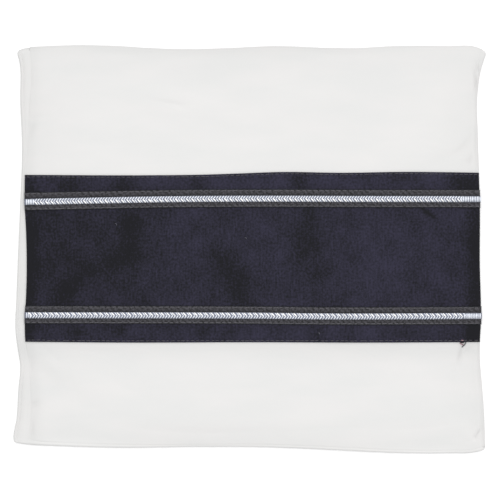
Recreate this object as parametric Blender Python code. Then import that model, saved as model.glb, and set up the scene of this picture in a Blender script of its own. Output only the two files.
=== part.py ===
"""A tallit bag lying flat on its back: a white cotton pouch with a navy band sewn across its front,
and two charcoal ribbons, each with a raised silver braid, sewn along the band.

The model is in metres, with +Z up. +X runs from the left side seam to the right one and +Y points to
the mouth. The origin is under the middle of the bag, on the surface that it lies on.
Every size below is in millimetres.
"""

from collections import namedtuple

import bpy
import numpy as np

MM = 0.001

# Cloth
PANEL_WALL = 1.2
BAND_WALL = 1.0
RIBBON_WALL = 0.8
BRAID_RISE = 0.5
GAP = 0.3

# The rolled seam at the left and bottom edges, where the back comes round to the front
ROLL_HEIGHT = 3.2
ROLL_SIDE = 1.6
LIP_SLOPE = 0.15
LIP_SHARES = (0.0, 0.12, 0.4, 1.0)
EDGE_LIFT = 0.6
EDGE_ROUNDING = 1.6
HIDDEN_TUCK = 0.5
CORNER_RADIUS = 2.5

# The front stands off the back by this much air, and less near its edges
AIR = 0.7
AIR_REACH = 30.0
TURNED_EDGE_DROP = 0.45

# A ribbon's points, measured across it from its middle line: its edges, its braid's edges, its middle
RIBBON_HALF = 6.9
BRAID_HALF = 2.7
RIBBON_ROWS = (-RIBBON_HALF, -BRAID_HALF, 0.0, BRAID_HALF, RIBBON_HALF)
BAND_END_INSET = 0.6
BESIDE_SEAM = 6.0

# How many steps the panels' grids take from one named line to the next
WHITE_ROWS = 5
MIDDLE_ROWS = 5
MIDDLE_COLUMNS = 23

Place = namedtuple("Place", "along across")
Fold = namedtuple("Fold", "x y half_length half_width turn height")

# The outline, as places in x or y along each edge and where the edge is there
MOUTH_EDGE = (
    Place(-177.0, 152.6), Place(-172.0, 154.0), Place(-156.0, 155.4), Place(-133.0, 156.2),
    Place(-99.0, 155.5), Place(-76.0, 154.0), Place(-47.0, 153.2), Place(-18.0, 153.9),
    Place(21.0, 155.5), Place(60.0, 154.2), Place(80.0, 154.0), Place(112.0, 155.5),
    Place(152.0, 155.5), Place(174.0, 154.8), Place(180.0, 152.6),
)
BOTTOM_EDGE = (
    Place(-180.0, -148.4), Place(-172.0, -149.6), Place(-145.0, -150.8), Place(-110.0, -151.6),
    Place(-91.0, -152.2), Place(-40.0, -151.6), Place(16.0, -151.6), Place(40.0, -152.3),
    Place(74.0, -154.0), Place(118.0, -155.9), Place(152.0, -156.0), Place(174.0, -154.7),
    Place(180.0, -153.0),
)
LEFT_EDGE = (
    Place(-148.0, -180.3), Place(-144.5, -180.6), Place(-131.0, -178.3), Place(-108.0, -176.8),
    Place(-89.0, -175.4), Place(-76.0, -177.4), Place(-62.0, -179.0), Place(-39.0, -178.3),
    Place(0.0, -176.8), Place(38.0, -175.2), Place(76.0, -173.9), Place(114.0, -175.3),
    Place(145.0, -176.3), Place(150.0, -177.6), Place(153.0, -177.2),
)
RIGHT_EDGE = (
    Place(-150.0, 180.3), Place(-123.0, 179.3), Place(-104.0, 177.8), Place(-81.0, 176.2),
    Place(-54.0, 177.5), Place(-8.0, 176.6), Place(30.0, 176.7), Place(53.0, 175.4),
    Place(83.0, 174.7), Place(122.0, 174.8), Place(137.0, 177.0), Place(145.0, 179.4),
    Place(149.5, 181.0), Place(153.0, 180.0),
)

# The lines where the back's rolled lip ends and the front begins
LEFT_SEAM = (
    Place(-150.0, -167.7), Place(-136.0, -167.3), Place(-119.0, -166.9), Place(-102.0, -167.7),
    Place(-85.0, -169.2), Place(-70.0, -171.0), Place(-52.0, -171.4), Place(-37.0, -170.5),
    Place(14.0, -170.5), Place(31.0, -171.4), Place(56.0, -171.3), Place(78.0, -169.8),
    Place(106.0, -168.4), Place(129.0, -167.3), Place(153.0, -167.7),
)
BOTTOM_SEAM = (
    Place(-180.0, -146.0), Place(-166.0, -147.0), Place(-142.0, -148.6), Place(-114.0, -149.8),
    Place(-76.0, -150.4), Place(16.0, -150.2), Place(40.0, -150.9), Place(74.0, -152.4),
    Place(118.0, -154.6), Place(152.0, -154.6), Place(174.0, -152.9), Place(180.0, -150.6),
)

# The band's long edges and the middle lines of the ribbons, for places along the bag
BAND_TOP = (
    Place(-172.0, 56.7), Place(-76.0, 56.4), Place(-38.0, 56.8), Place(-7.0, 57.8), Place(24.0, 58.9),
    Place(70.0, 58.3), Place(120.0, 59.0), Place(176.0, 58.4),
)
BAND_BOTTOM = (
    Place(-172.0, -71.0), Place(-90.0, -71.6), Place(0.0, -71.3), Place(90.0, -71.6),
    Place(176.0, -71.2),
)
UPPER_RIBBON = (
    Place(-172.0, 36.3), Place(-122.0, 37.3), Place(-53.0, 38.5), Place(16.0, 38.8), Place(85.0, 38.6),
    Place(176.0, 38.5),
)
LOWER_RIBBON = (
    Place(-172.0, -50.2), Place(-76.0, -50.3), Place(0.0, -50.5), Place(62.0, -51.1),
    Place(176.0, -50.8),
)

# The largest soft folds of the front, by middle, size, turn from +X in degrees, and height
FOLDS = (
    Fold(x=-150.0, y=-88.0, half_length=26.0, half_width=7.0, turn=-42.0, height=0.9),
    Fold(x=-158.0, y=-118.0, half_length=34.0, half_width=6.0, turn=-84.0, height=0.6),
    Fold(x=-132.0, y=-112.0, half_length=40.0, half_width=12.0, turn=-35.0, height=-0.5),
    Fold(x=20.0, y=-136.0, half_length=95.0, half_width=9.0, turn=-2.0, height=0.6),
    Fold(x=161.0, y=-82.0, half_length=14.0, half_width=4.0, turn=84.0, height=0.7),
    Fold(x=166.0, y=-140.0, half_length=12.0, half_width=5.0, turn=-40.0, height=0.8),
    Fold(x=164.0, y=76.0, half_length=24.0, half_width=8.0, turn=62.0, height=0.6),
    Fold(x=-60.0, y=112.0, half_length=42.0, half_width=10.0, turn=-8.0, height=0.6),
    Fold(x=60.0, y=118.0, half_length=60.0, half_width=14.0, turn=6.0, height=0.5),
    Fold(x=-150.0, y=128.0, half_length=30.0, half_width=9.0, turn=55.0, height=0.5),
    Fold(x=-92.0, y=-8.0, half_length=44.0, half_width=16.0, turn=80.0, height=0.5),
    Fold(x=44.0, y=-10.0, half_length=48.0, half_width=20.0, turn=-82.0, height=0.6),
    Fold(x=132.0, y=24.0, half_length=20.0, half_width=7.0, turn=30.0, height=0.5),
)

WHITE = (0.86, 0.86, 0.85)
NAVY = (0.026, 0.024, 0.042)
CHARCOAL = (0.055, 0.055, 0.062)


def along_table(table, at):
    """The value of a table at each place, on a cubic through its rows that leans as their neighbours do."""
    along, across = np.array(table, float).T
    slope = np.gradient(across, along)
    at = np.clip(at, along[0], along[-1])
    row = np.clip(np.searchsorted(along, at) - 1, 0, len(along) - 2)
    step = along[row + 1] - along[row]
    t = (at - along[row]) / step
    return (
        (1 + 2 * t) * (1 - t) ** 2 * across[row]
        + t * (1 - t) ** 2 * step * slope[row]
        + t**2 * (3 - 2 * t) * across[row + 1]
        + t**2 * (t - 1) * step * slope[row + 1]
    )


def offset(line, by):
    """A grid line that runs beside another one."""
    return lambda at: line(at) + by


def between(first, last, steps):
    """The grid lines that share the way from one line to another evenly, without those two."""
    return [lambda at, s=step / steps: first(at) * (1 - s) + last(at) * s for step in range(1, steps)]


def grid(columns, rows):
    """x and y where grid lines cross: columns give x for a y, and rows give y for an x.

    The lines are nearly straight, so a few rounds of working out each from the other settle both.
    """
    x, y = np.zeros((2, len(rows), len(columns)))
    for _ in range(6):
        for number, row in enumerate(rows):
            y[number] = row(x[number])
        for number, column in enumerate(columns):
            x[:, number] = column(y[:, number])
    return x, y


def left_edge(y):
    return along_table(LEFT_EDGE, y)


def right_edge(y):
    return along_table(RIGHT_EDGE, y)


def bottom_edge(x):
    return along_table(BOTTOM_EDGE, x)


def mouth_edge(x):
    return along_table(MOUTH_EDGE, x)


def left_seam(y):
    return along_table(LEFT_SEAM, y)


def bottom_seam(x):
    return along_table(BOTTOM_SEAM, x)


def band_bottom(x):
    return along_table(BAND_BOTTOM, x)


def band_top(x):
    return along_table(BAND_TOP, x)


def lower_ribbon(x):
    return along_table(LOWER_RIBBON, x)


def upper_ribbon(x):
    return along_table(UPPER_RIBBON, x)


def rounded(x, y):
    """The points with the outline's corners rounded: squares round a corner become arcs."""
    corners_x, corners_y = grid([left_edge, right_edge], [bottom_edge, mouth_edge])
    for row, inward_y in ((0, 1), (1, -1)):
        for column, inward_x in ((0, 1), (1, -1)):
            from_x = CORNER_RADIUS - (x - corners_x[row, column]) * inward_x
            from_y = CORNER_RADIUS - (y - corners_y[row, column]) * inward_y
            near = (from_x > 0) & (from_y > 0)
            shrink = np.maximum(from_x, from_y) / np.hypot(from_x, from_y)
            x = np.where(near, x + (1 - shrink) * from_x * inward_x, x)
            y = np.where(near, y + (1 - shrink) * from_y * inward_y, y)
    return x, y


def edge_distance(x, y):
    """How far each point is inside the outline."""
    sides = (x - left_edge(y), right_edge(y) - x, y - bottom_edge(x), mouth_edge(x) - y)
    return np.maximum(np.minimum.reduce(sides), 0.0)


def edge_curve(distance):
    """From 0 at the outline to 1 at EDGE_ROUNDING inside it, along a quarter of a circle."""
    inside = np.clip(distance / EDGE_ROUNDING, 0.0, 1.0)
    return np.sqrt(1 - (1 - inside) ** 2)


def fold_height(x, y):
    """The sum of the folds, each a soft ridge or, with a height under zero, a trough."""
    total = np.zeros_like(x)
    for fold in FOLDS:
        turn = np.radians(fold.turn)
        along = (x - fold.x) * np.cos(turn) + (y - fold.y) * np.sin(turn)
        across = (y - fold.y) * np.cos(turn) - (x - fold.x) * np.sin(turn)
        total += fold.height * np.exp(-((along / fold.half_length) ** 2) - (across / fold.half_width) ** 2)
    return total


def front_height(x, y):
    """Height of the front panel's outer face over the surface that the bag lies on."""
    air = AIR * (1 - np.exp(-edge_distance(x, y) / AIR_REACH))
    return PANEL_WALL + GAP + PANEL_WALL + np.maximum(air + fold_height(x, y), 0.0)


def make_material(name, colour, roughness):
    material = bpy.data.materials.new(name)
    material.use_nodes = True
    shader = material.node_tree.nodes["Principled BSDF"]
    shader.inputs["Base Color"].default_value = (*colour, 1.0)
    shader.inputs["Roughness"].default_value = roughness
    shader.inputs["Metallic"].default_value = 0.0
    return material


def cloth_wall(name, collection, x, y, outer, inner, material):
    """A closed wall over a grid of x and y, from the heights of its inner face to those of its outer one.

    It is a loft: faces join the neighbours in each face's grid, and a rim joins the two faces.
    """
    rows, columns = x.shape
    index = np.arange(x.size).reshape(rows, columns)
    above = np.stack([index[:-1, :-1], index[:-1, 1:], index[1:, 1:], index[1:, :-1]], axis=-1).reshape(-1, 4)
    below = above[:, ::-1] + x.size
    loop = np.concatenate([index[0, :-1], index[:-1, -1], index[-1, :0:-1], index[:0:-1, 0]])
    after = np.roll(loop, -1)
    rim = np.stack([loop + x.size, after + x.size, after, loop], axis=-1)
    points = np.concatenate([np.stack([x, y, z], axis=-1).reshape(-1, 3) for z in (outer, inner)]) * MM
    mesh = bpy.data.meshes.new(name)
    mesh.from_pydata(points.tolist(), [], np.concatenate([above, below, rim]).tolist())
    mesh.shade_smooth()
    mesh.set_sharp_from_angle(angle=np.radians(40))
    mesh.materials.append(material)
    wall = bpy.data.objects.new(name, mesh)
    collection.objects.link(wall)
    return wall


def front_lines():
    """The front panel's columns and rows, and the numbers of the rows that the band and ribbons take.

    The rows follow the band's edges, the ribbons' edges and the braids, so that what lies on the
    panel is made from the panel's own points.
    """
    low = offset(bottom_seam, LIP_SLOPE + GAP)
    left = offset(left_seam, LIP_SLOPE + GAP)
    columns = [left, offset(left, EDGE_ROUNDING)]
    columns += between(columns[-1], offset(right_edge, -BESIDE_SEAM), MIDDLE_COLUMNS)
    columns += [offset(right_edge, -by) for by in (BESIDE_SEAM, BAND_END_INSET, 0.0)]
    lower, upper = ([offset(line, by) for by in RIBBON_ROWS] for line in (lower_ribbon, upper_ribbon))
    mouth_inner = offset(mouth_edge, -EDGE_ROUNDING)
    rows = [low, offset(low, EDGE_ROUNDING)]
    rows += between(rows[-1], band_bottom, WHITE_ROWS)
    band_start = len(rows)
    rows += [band_bottom]
    lower_start = len(rows)
    rows += [*lower, *between(lower[-1], upper[0], MIDDLE_ROWS)]
    upper_start = len(rows)
    rows += [*upper, band_top]
    band_end = len(rows)
    rows += [*between(band_top, mouth_inner, WHITE_ROWS), mouth_inner, mouth_edge]
    taken = {
        "band": range(band_start, band_end),
        "lower": range(lower_start, lower_start + len(lower)),
        "upper": range(upper_start, upper_start + len(upper)),
    }
    return columns, rows, taken


def make_front(collection, x, y, material):
    """The front panel: a plain wall whose outer face drops a little at its turned edges."""
    outer = front_height(x, y)
    inner = outer - PANEL_WALL
    for edge in (np.s_[0], np.s_[-1], np.s_[1:-1, 0], np.s_[1:-1, -1]):
        outer[edge] -= TURNED_EDGE_DROP
    return cloth_wall("front_panel", collection, x, y, outer, inner, material)


def make_band(collection, x, y, material):
    """The band, made from the front's points moved out."""
    inner = front_height(x, y) + GAP
    return cloth_wall("navy_band", collection, x, y, inner + BAND_WALL, inner, material)


def make_ribbon(name, collection, x, y, material):
    """A ribbon, made from the band's points moved out, with its braid raised along the middle row."""
    inner = front_height(x, y) + GAP + BAND_WALL + GAP
    outer = inner + RIBBON_WALL
    outer[len(RIBBON_ROWS) // 2] += BRAID_RISE
    return cloth_wall(name, collection, x, y, outer, inner, material)


def make_back(collection, columns, rows, material):
    """The back panel: flat underneath, with its rolled lip at the left side and along the bottom.

    The lip's grid lines are at shares of its width. Under the front it is a plain wall on the front's
    grid lines, which ends just inside the front's edges at the right side and the mouth.
    """

    def lines(edge, seam, of_front):
        lip = [lambda at, s=share: edge(at) * (1 - s) + seam(at) * s for share in LIP_SHARES]
        return [*lip, offset(seam, LIP_SLOPE), *of_front[1:-1], offset(of_front[-1], -HIDDEN_TUCK)]

    columns, rows = lines(left_edge, left_seam, columns), lines(bottom_edge, bottom_seam, rows)
    x, y = rounded(*grid(columns, rows))
    curve = edge_curve(edge_distance(x, y))
    inner = EDGE_LIFT * (1 - curve)
    outer = np.full_like(x, PANEL_WALL)
    lip = len(LIP_SHARES)
    roll = ROLL_SIDE + (ROLL_HEIGHT - ROLL_SIDE) * curve
    outer[:lip], outer[:, :lip] = roll[:lip], roll[:, :lip]
    return cloth_wall("back_panel", collection, x, y, outer, inner, material)


def main():
    for thing in list(bpy.data.objects):
        bpy.data.objects.remove(thing, do_unlink=True)
    bag = bpy.data.collections.new("tallit_bag")
    bpy.context.scene.collection.children.link(bag)
    cotton = make_material("white_cotton", WHITE, 0.85)
    navy = make_material("navy_cloth", NAVY, 0.6)
    charcoal = make_material("charcoal_ribbon", CHARCOAL, 0.55)

    columns, rows, taken = front_lines()
    inside_ribbons = {*taken["lower"][1:-1], *taken["upper"][1:-1]}
    make_back(bag, columns, [row for number, row in enumerate(rows) if number not in inside_ribbons], cotton)

    x, y = rounded(*grid(columns, rows))
    make_front(bag, x, y, cotton)
    on_band, on_lower, on_upper = (
        np.s_[taken[piece][0] : taken[piece][-1] + 1, :-1] for piece in ("band", "lower", "upper")
    )
    make_band(bag, x[on_band], y[on_band], navy)
    make_ribbon("ribbon_lower", bag, x[on_lower], y[on_lower], charcoal)
    make_ribbon("ribbon_upper", bag, x[on_upper], y[on_upper], charcoal)


main()
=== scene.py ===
"""A tallit bag lying flat on its back, seen straight down on a plain pale floor in soft studio light.

The bag is two cotton panels, sewn at the sides and along the bottom, with a navy band across the
front and two charcoal ribbons along the band. Each ribbon carries a silver braid. At the left side
and along the bottom the back's edge rolls round to the front as a lip, and the mouth is at the top.

+X runs from the left side seam to the right one, +Y points to the mouth and +Z up out of the front.
The origin is under the middle of the bag, on the surface that it lies on. Every size below is in
millimetres, and MM turns it into the frame's metres. "Front height" is the height of the front
panel's outer face, which every piece on the front is measured from.
"""

from collections import namedtuple

import bmesh
import bpy
import numpy as np
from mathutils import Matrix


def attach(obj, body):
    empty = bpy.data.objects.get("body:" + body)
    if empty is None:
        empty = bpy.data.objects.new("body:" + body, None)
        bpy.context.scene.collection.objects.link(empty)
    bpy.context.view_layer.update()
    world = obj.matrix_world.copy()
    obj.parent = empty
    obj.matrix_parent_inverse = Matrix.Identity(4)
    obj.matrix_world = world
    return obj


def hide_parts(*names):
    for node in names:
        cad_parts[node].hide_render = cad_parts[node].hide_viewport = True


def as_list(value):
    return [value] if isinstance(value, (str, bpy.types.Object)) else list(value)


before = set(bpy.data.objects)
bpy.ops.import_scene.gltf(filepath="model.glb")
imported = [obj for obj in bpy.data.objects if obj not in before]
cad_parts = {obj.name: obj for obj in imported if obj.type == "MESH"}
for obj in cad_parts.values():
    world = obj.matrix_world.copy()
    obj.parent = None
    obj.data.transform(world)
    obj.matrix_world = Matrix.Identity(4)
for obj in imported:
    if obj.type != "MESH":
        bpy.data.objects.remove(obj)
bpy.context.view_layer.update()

MM = 0.001
IMAGE_WIDTH_PIXELS = 500
MM_A_PIXEL = 0.7656

# Walls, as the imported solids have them, and the air between front and back
PANEL_WALL = 1.2
BAND_WALL = 1.0
RIBBON_WALL = 0.8
GAP = 0.3
AIR = 0.7
AIR_REACH = 30.0

# Cloths, and how sewing presses them in: depth and reach
COTTON_THICKNESS = 0.4
BAND_THICKNESS = 0.35
TAPE_THICKNESS = 0.2
CORE_THICKNESS = 0.12
RIBBON_HALF = 6.9
RIBBON_SINK = 0.3
BAND_PRESSED = (0.3, 0.8)
RIBBON_PRESSED = (0.12, RIBBON_HALF)
SELVEDGE_PRESSED = (0.14, 0.5)

# Threads of the weaves, as their spacing
COTTON_THREAD = 0.42
NAVY_THREAD = 0.5
TWILL_RIB = 1.6
SILVER_THREAD = 0.55

# Turned edges: how far in the rounding starts, its drop to the outermost line and from there to the
# allowance that is turned in, and how much of that allowance is made. A drop of None goes down to
# the side seam.
Turn = namedtuple("Turn", "round above below tucked")
MOUTH_HEM = Turn(round=1.6, above=0.8, below=0.4, tucked=3.0)
FRONT_SEAM = Turn(round=1.6, above=0.5, below=0.7, tucked=3.0)
FRONT_SIDE = Turn(round=1.6, above=None, below=0.55, tucked=2.4)
BAND_FOLD = Turn(round=1.4, above=0.62, below=0.38, tucked=6.0)
BAND_IN_SEAM = Turn(round=1.3, above=2.1, below=0.3, tucked=1.0)
BAND_OVER_EDGE = Turn(round=1.6, above=None, below=0.35, tucked=0.8)
SELVEDGE = Turn(round=0.35, above=0.3, below=0.3, tucked=0.4)
RIBBON_IN_SEAM = Turn(round=1.2, above=2.2, below=0.3, tucked=0.6)
RIBBON_OVER_EDGE = Turn(round=1.6, above=None, below=0.2, tucked=0.6)
CORE_EDGE = Turn(round=0.02, above=0.1, below=0.05, tucked=0.1)
CORE_IN_SEAM = Turn(round=1.2, above=2.6, below=0.2, tucked=0.5)
CORE_OVER_EDGE = Turn(round=1.6, above=None, below=0.2, tucked=0.5)

# The rounding under an edge, at most, and the steps of a turn and of the allowance
UNDER_ROUND = 0.6
TURN_STEPS = 8
TUCK_STEPS = 2

# The level of the side seam, how far the front goes under the lip, the outline's corners, over what
# distance two sides mix at one, and how close points are merged
SIDE_SEAM_HEIGHT = 1.8
SEAM_OVERLAP = 0.25
CORNER_RADIUS = 1.9
CORNER_BLEND = 0.6
MERGE_DISTANCE = 0.004

# Rounds that settle a grid, and a length that keeps a division from zero
GRID_ROUNDS = 5
TINY = 1e-9

# The back: its rolled lip, whose slope ends at LIP_SLOPE past the seam line, the hem at its free
# sides, which lie inside the front's, and its flat underside
ROLL_ROUND = 1.6
ROLL_HEIGHT = 3.1
ROLL_SHARE = 0.45
ROLL_STEPS = 4
LIP_SLOPE = 0.15
LIP_LINE_INSET = 2.7
LIP_LINE_REACH = 0.45
WIDE_LIP = 4.0
LIP_HOLLOW = 0.25
LIP_DROP = 0.45
LIP_DROP_REACH = 1.8
BACK_HEM_TOP = 1.15
BACK_TUCK = 2.0
HIDDEN_TUCK = 0.5
TUCKED_ABOVE = -150.0
TUCKED_ABOVE_RAMP = 8.0
TUCKED_PAST = -170.0
TUCKED_PAST_RAMP = 6.0
LIP_ROUNDS = 3
BACK_RIM = 2.4
UNDERSIDE_FADE = 12.0
UNDERSIDE_RIM = 0.2
FLAT_UNDER = 0.02

# Creases: how round the foot of one is, how deep the front's and its pressed line may go together,
# where they fade to the outline, and where the band hides them
CREASE_FOOT = 0.4
DEEPEST_CREASE = 1.4
RIGHT_LINE_REACH = 0.9
CREASE_FREE_RIM = 0.3
CREASE_FADE = 1.2
UNDER_BAND_BOTTOM = -70.0
UNDER_BAND_TOP = 57.0
UNDER_BAND_RAMP = 2.0

# How far the front lies further in under the band, and how far the ends of the band, the ribbons and
# the braids lie in under the lip's slope and out over the right edge
FRONT_IN_LEFT = 0.8
FRONT_IN_RIGHT = 0.9
BAND_END_IN = 0.55
RIBBON_ENDS = (0.6, 0.35)
CORE_ENDS = (0.7, 0.6)

# Lines of stitches: how far in from the cloth's edge, from where to where, pitch and thread radius.
# Then the length of a stitch at the band's pitch, how unevenly they are sewn, and how far one rises
# and dips, in radii.
Sewing = namedtuple("Sewing", "inset from_x to_x pitch radius")
BAND_SEWING = Sewing(inset=1.4, from_x=-168.5, to_x=174.0, pitch=3.8, radius=0.19)
RIBBON_SEWING = Sewing(inset=1.0, from_x=-169.0, to_x=175.0, pitch=4.4, radius=0.2)
STITCH_LENGTH = 2.7
STITCH_DRIFT = 0.3
STITCH_SPREAD = 0.15
STITCH_LIMIT = 0.3
STITCH_SWAY = 0.06
STITCH_RISE = 1.6
STITCH_DIP = 0.9
STITCH_STEPS = 6
THREAD_SIDES = 6

# The braids. Thin strands are two a repeat in one half, and thick ones one a repeat in the other,
# with a fill strand between them. Cross bars lie at a braid's plain ends. A strand's radius at its
# tips is the sine's at STRAND_TIP of its half wave.
BraidPart = namedtuple("BraidPart", "start lean inner outer radius")
THIN_STRAND = BraidPart(start=0.2, lean=1.8, inner=0.0, outer=2.3, radius=0.5)
FILL_STRAND = BraidPart(start=2.2, lean=2.0, inner=0.2, outer=-2.3, radius=0.46)
THICK_STRAND = BraidPart(start=0.0, lean=2.6, inner=0.4, outer=-2.25, radius=0.62)
CROSS_BAR = BraidPart(start=0.0, lean=0.0, inner=-2.1, outer=2.1, radius=0.56)
BAR_PITCH = 1.3
BARS_FROM = -169.8
BARS_TO = 177.6
BARS_GAP = 0.6
BRAID_HALF = 2.35
BRAID_DOME = 0.45
BRAID_DROP = 0.4
STRAND_STEPS = 8
STRAND_SIDES = 8
STRAND_TIP = 0.12
STRAND_DRIFT = 0.07
STRAND_SPREAD = 0.08
STRAND_LIFT = 0.25

# Lint on the band, by x, y and size, and the steps of a fibre and how much of its radius a tip has
LINT = ((-102.6, 19.1, 1.2), (-3.1, 8.4, 0.9), (52.8, -64.3, 1.0))
LINT_RADIUS = 0.12
FIBRE_STEPS = 14
FIBRE_TIP = 0.6

# The stage: floor, camera and light
FLOOR_HALF = 1500.0
FLOOR_DROP = 0.05
FLOOR_GLOW = 0.06
CAMERA_HEIGHT = 1200.0
FRONT_FACE_HEIGHT = 3.0
SENSOR_WIDTH = 36.0
ROOM_STRENGTH = 0.8
LAMP_STRENGTH = 1.2
LAMP_ANGLE = 80.0
LAMP_LEAN = 26.0
LAMP_TURN = 70.0


def line_through(*rows):
    """The line through rows of a place along it and where it is there, as a function of the place.

    Between two rows it is a cubic, which leans at each row as the rows beside it do.
    """
    along, across = np.array(rows, float).T
    slope = np.gradient(across, along)

    def line(at):
        at = np.clip(at, along[0], along[-1])
        row = np.clip(np.searchsorted(along, at) - 1, 0, len(along) - 2)
        step = along[row + 1] - along[row]
        t = (at - along[row]) / step
        return (
            (1 + 2 * t) * (1 - t) ** 2 * across[row]
            + t * (1 - t) ** 2 * step * slope[row]
            + t**2 * (3 - 2 * t) * across[row + 1]
            + t**2 * (t - 1) * step * slope[row + 1]
        )

    return line


# The outline, as places in x or y along each edge and where the edge is there
mouth_edge = line_through(
    (-177, 152.6), (-172, 154), (-156, 155.4), (-133, 156.2), (-99, 155.5), (-76, 154), (-47, 153.2),
    (-18, 153.9), (21, 155.5), (60, 154.2), (80, 154), (112, 155.5), (152, 155.5), (174, 154.8),
    (180, 152.6),
)
bottom_edge = line_through(
    (-180, -148.4), (-172, -149.6), (-145, -151.1), (-110, -152.2), (-91, -152.3), (-40, -151.6),
    (16, -152), (40, -152.9), (74, -154.6), (118, -156.4), (152, -156.5), (174, -155.6), (180, -154.2),
)
left_edge = line_through(
    (-148, -180.3), (-144.5, -180.6), (-131, -178.3), (-108, -176.8), (-89, -175.4), (-76, -177.4),
    (-62, -179), (-39, -178.3), (0, -176.8), (38, -175.2), (76, -173.9), (114, -175.3), (145, -176.3),
    (150, -177.6), (153, -177.2),
)
right_edge = line_through(
    (-150, 181), (-123, 180), (-104, 178.5), (-81, 176.8), (-54, 177.8), (-8, 176.9), (30, 177),
    (53, 176.4), (83, 175.5), (122, 175.4), (137, 177.7), (145, 180.1), (149.5, 181.5), (153, 180.4),
)

# The lines where the back's rolled lip ends and the front begins
left_seam = line_through(
    (-150, -167.7), (-136, -167.3), (-119, -166.9), (-102, -167.7), (-85, -169.2), (-70, -171),
    (-52, -171.4), (-37, -170.5), (14, -170.5), (31, -171.4), (56, -171.3), (78, -169.8), (106, -168.4),
    (129, -167.3), (153, -167.7),
)
bottom_seam = line_through(
    (-180, -146), (-166, -147), (-142, -148.6), (-114, -149.8), (-76, -150.4), (16, -150.2),
    (40, -150.9), (74, -152.4), (118, -154.6), (152, -154.6), (174, -153.3), (180, -151.3),
)

# The band's long edges and the middle lines of the ribbons, for places along the bag
band_top = line_through(
    (-172, 56.7), (-76, 56.4), (-38, 56.8), (-7, 57.8), (24, 58.9), (70, 58.3), (120, 59), (176, 58.4),
)
band_bottom = line_through((-172, -71), (-90, -71.6), (0, -71.3), (90, -71.6), (176, -71.2))
upper_ribbon = line_through((-172, 36.3), (-122, 37.3), (-53, 38.5), (16, 38.8), (85, 38.6), (176, 38.5))
lower_ribbon = line_through((-172, -50.2), (-76, -50.3), (0, -50.5), (62, -51.1), (176, -50.8))

# The pressed line inside the right edge, where the side seam's layers end under the front
right_line = line_through(
    (-148, 178.4), (-123, 177.2), (-108, 176), (-81, 174.6), (-54, 175.6), (-8, 174.9), (30, 174.6),
    (53, 173.6), (83, 172.6), (122, 172.9), (137, 174.4), (152, 177.4),
)

# How deep the pressed lines are, for places up the bag: inside the right edge and on the left lip
right_line_depth = line_through(
    (-150, 0.6), (-128, 0.6), (-112, 0.2), (-96, 0.45), (-76, 0.25), (60, 0.2), (84, 0.8), (96, 0.3),
    (122, 0.8), (134, 1), (152, 0.4),
)
lip_line_depth = line_through(
    (-150, 0.5), (-120, 0.75), (-104, 0.7), (-88, 0.25), (-60, 0.4), (-20, 0.1), (50, 0.15), (100, 0.4),
    (128, 0.75), (152, 0.6),
)

# Soft marks on the cloth, each a bell along and across: x and y of its middle, half length, half
# width, turn from +X in degrees, and its height or strength
Bell = namedtuple("Bell", "x y half_length half_width turn size")

# The largest soft folds of the front, by their height
FOLDS = [Bell(*row) for row in (
    (-150, -88, 26, 7, -42, 0.9), (-158, -118, 34, 6, -84, 0.6), (-132, -112, 40, 12, -35, -0.5),
    (20, -136, 95, 9, -2, 0.6), (161, -82, 14, 4, 84, 0.7), (166, -140, 12, 5, -40, 0.2),
    (164, 76, 24, 8, 62, 0.6), (-60, 112, 42, 10, -8, 0.6), (60, 118, 60, 14, 6, 0.5),
    (-150, 128, 30, 9, 55, 0.5), (-92, -8, 44, 16, 80, 0.5), (44, -10, 48, 20, -82, 0.6),
    (132, 24, 20, 7, 30, 0.5),
)]

# Where the navy is darker or, with a strength under zero, lighter: partly the cloth's uneven tone,
# and partly painted shade, in the short crease near its upper right and at its ends
BAND_TONE_AND_PAINTED_SHADE = [Bell(*row) for row in (
    (-169, -8, 78, 7, 90, 1.7), (-150, -4, 44, 16, 90, 0.6), (-105, -12, 75, 60, 0, 0.42),
    (-120, 20, 16, 16, 0, 0.35), (-90, 14, 24, 11, 82, 1.1), (-110, -12, 18, 8, 20, 0.8),
    (-138, -32, 14, 9, 70, 1.1), (-12, -22, 24, 11, -60, 1.1), (46, 4, 34, 12, -84, 1),
    (174, -8, 84, 7, 90, 1.9), (-136, 49, 9, 6, 0, 1.2), (-97, 48, 8, 6, 0, 1.2), (-40, 49, 9, 6, 0, 1),
    (37, 50, 7, 6, 0, 1), (112, 50, 7, 5, 0, 0.6), (164, 50, 9, 7, 0, 1.3), (-131, -64, 8, 5, 0, 1.2),
    (-98, -64, 5, 5, 0, 0.7), (-36, -64, 7, 5, 0, 0.9), (-14, -64, 5, 5, 0, 1), (52, -65, 7, 5, 0, 0.9),
    (116, -64, 9, 5, 0, 0.7), (168, -64, 9, 6, 0, 1.3), (145, -64, 12, 5, 0, 0.45),
    (-50, 8, 30, 16, 86, -0.35), (12, 18, 16, 12, 60, -0.3), (102, -10, 36, 24, 80, -0.4),
    (137, 27.4, 8.5, 1.4, -36, 2.6), (0, 51, 150, 6, 0, -0.6), (0, -66, 150, 5, 0, -0.4),
)]
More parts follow.
